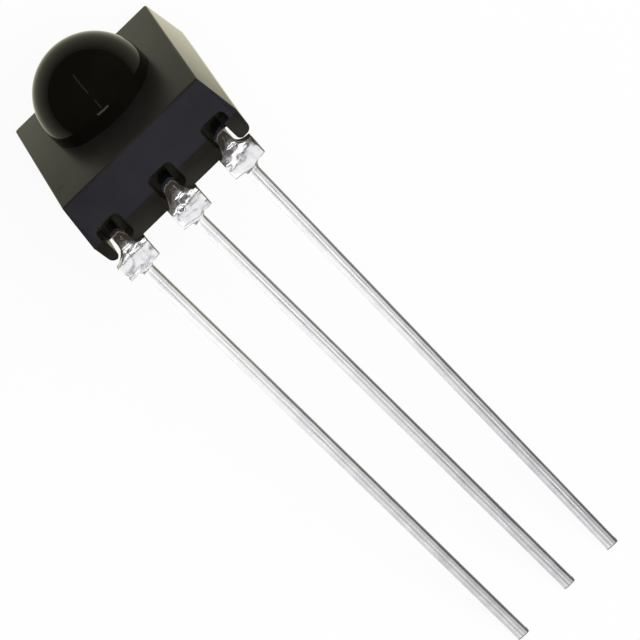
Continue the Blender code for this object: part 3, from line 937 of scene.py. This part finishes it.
def floor_finish():
    """Paper: white to the camera with a part of the shadow, ivory in the part's reflections."""
    finish = Finish("white_paper")
    finish.set("Base Color", finish.mottled(finish.noise(*PAPER_FIBRE), *PAPER))
    finish.set("Roughness", PAPER_ROUGHNESS)
    path = finish.node("ShaderNodeLightPath").outputs
    white = finish.fed("ShaderNodeEmission", {"Color": WHITE}).outputs[0]
    share = finish.math("MULTIPLY", path["Is Camera Ray"], FLOOR_SHARE)
    seen = finish.blended(share, finish.shader.outputs[0], white)
    glow = {"Color": FLOOR_GLOW, "Strength": glow_level(finish)}
    ivory = finish.fed("ShaderNodeEmission", glow).outputs[0]
    mirrored = finish.math("MAXIMUM", path["Is Glossy Ray"], path["Is Transmission Ray"])
    surface = finish.blended(mirrored, seen, ivory)
    finish.feed(finish.nodes["Material Output"].inputs["Surface"], surface)
    return finish.material


def build_floor():
    bm = bmesh.new()
    bmesh.ops.create_circle(bm, cap_ends=True, segments=FLOOR_SEGMENTS, radius=FLOOR_RADIUS)
    floor = mesh_object("floor", bm)
    floor.data.materials.append(floor_finish())


def build_world():
    """A dim room: white to the camera, and darker where the part mirrors it."""
    world = bpy.data.worlds.new("studio")
    bpy.context.scene.world = world
    wiring = Wiring(world)
    looks = ((SKY_COLOUR, SKY), (MIRRORED_SKY_COLOUR, MIRRORED_SKY), (WHITE, 1.0))
    room, mirrored, backdrop = (
        wiring.fed("ShaderNodeBackground", {"Color": colour, "Strength": strength}).outputs[0]
        for colour, strength in looks
    )
    path = wiring.node("ShaderNodeLightPath").outputs
    shine = wiring.blended(path["Is Glossy Ray"], room, mirrored)
    surface = wiring.blended(path["Is Camera Ray"], shine, backdrop)
    wiring.feed(wiring.nodes["World Output"].inputs["Surface"], surface)


# Lamps

# The soft light on everything: its direction in the world, distance, side and radiance
FILL_DIRECTION = (-0.35, 0.15, 1.0)
FILL_DISTANCE = 350.0 * MM
FILL_SIZE = 300.0 * MM
FILL_RADIANCE = 3.9

# Bars that glint on the dome: directions of both ends in the module's frame, width, radiance
GLINT_DISTANCE = 200.0 * MM
GLINTS = {
    "glint_bar": (((0.329, 0.186, 0.926), (-0.099, 0.206, 0.974)), 14.0 * MM, 2.4),
    "glint_stem": (((0.072, -0.24, 0.968), (0.089, 0.101, 0.991)), 5.0 * MM, 1.2),
    "glint_line": (((0.03, -0.965, 0.26), (0.069, -0.502, 0.862)), 5.0 * MM, 1.2),
}

# Panels that only the leads mirror: direction in the module's frame, both sides, radiance
PANEL_DISTANCE = 90.0 * MM
LEAD_PANELS = {
    "lead_panel": ((0.075, 0.58, 0.81), (54.0 * MM, 52.0 * MM), 0.95),
    "bend_panel": ((0.07, -0.10, 0.99), (90.0 * MM, 60.0 * MM), 0.08),
    "dark_side_fill": ((-0.93, 0.20, 0.30), (60.0 * MM, 60.0 * MM), 0.06),
}
SIDE_PANEL_ENDS = ((0.34, 0.45, 0.83), (0.91, 0.41, -0.08))
SIDE_PANEL_WIDTH = 50.0 * MM
SIDE_PANEL_RADIANCE = 1.3


def in_world(direction):
    """A direction given in the module's frame, in the world's."""
    return (MODULE.to_3x3() @ Vector(direction)).normalized()


def area_lamp(name, away, turn, distance, size, radiance):
    """A rectangular lamp in one direction from the body's middle."""
    lamp = bpy.data.lights.new(name, "AREA")
    lamp.shape = "RECTANGLE"
    lamp.size, lamp.size_y = size
    lamp.energy = radiance * math.pi * size[0] * size[1]
    made = bpy.data.objects.new(name, lamp)
    bpy.context.scene.collection.objects.link(made)
    made.matrix_world = Matrix.Translation(body_middle() + away * distance) @ turn.to_4x4()
    made.visible_camera = False
    return made


def softbox(name, direction, distance, size, radiance):
    away = Vector(direction).normalized()
    turn = away.to_track_quat("Z", "Y").to_matrix()
    return area_lamp(name, away, turn, distance, size, radiance)


def bar_lamp(name, ends, distance, width, radiance):
    """A long lamp whose ends lie in two directions of the module's frame."""
    start, end = (in_world(direction) for direction in ends)
    length = 2.0 * distance * math.tan(start.angle(end) / 2)
    away, across = (start + end).normalized(), (end - start).normalized()
    turn = Matrix((across, away.cross(across), away)).transposed()
    return area_lamp(name, away, turn, distance, (length, width), radiance)


def light_only(lamp, pieces):
    """Keeps a lamp's light to these pieces."""
    receivers = bpy.data.collections.new(f"{lamp.name}_receivers")
    for piece in pieces:
        receivers.objects.link(piece)
    lamp.light_linking.receiver_collection = receivers


def build_lights(leads):
    fill_size = (FILL_SIZE, FILL_SIZE)
    fill = softbox("overhead_fill", FILL_DIRECTION, FILL_DISTANCE, fill_size, FILL_RADIANCE)
    fill.visible_glossy = False
    for name, (ends, width, radiance) in GLINTS.items():
        bar_lamp(name, ends, GLINT_DISTANCE, width, radiance)
    side = bar_lamp("side_panel", SIDE_PANEL_ENDS, PANEL_DISTANCE, SIDE_PANEL_WIDTH, SIDE_PANEL_RADIANCE)
    light_only(side, leads)
    for name, (direction, size, radiance) in LEAD_PANELS.items():
        light_only(softbox(name, in_world(direction), PANEL_DISTANCE, size, radiance), leads)


def build_camera():
    camera = bpy.data.cameras.new("camera")
    camera.lens = CAMERA_LENS
    camera.sensor_width = CAMERA_SENSOR
    camera.clip_start = CLIP_START
    camera.clip_end = CLIP_END
    made = bpy.data.objects.new("camera", camera)
    bpy.context.scene.collection.objects.link(made)
    turn = Euler([math.radians(angle) for angle in CAMERA_TURN]).to_matrix().to_4x4()
    made.matrix_world = MODULE @ Matrix.Translation(CAMERA_PLACE) @ turn
    bpy.context.scene.camera = made


def main():
    build_body(satin_epoxy(), dome_epoxy())
    tin = bright_tin()
    leads = [build_lead(name, tin) for name in LEADS]
    dress_inner_nodes()
    build_floor()
    build_world()
    build_lights(leads)
    build_camera()
    bpy.context.scene.view_settings.view_transform = "Standard"


main()
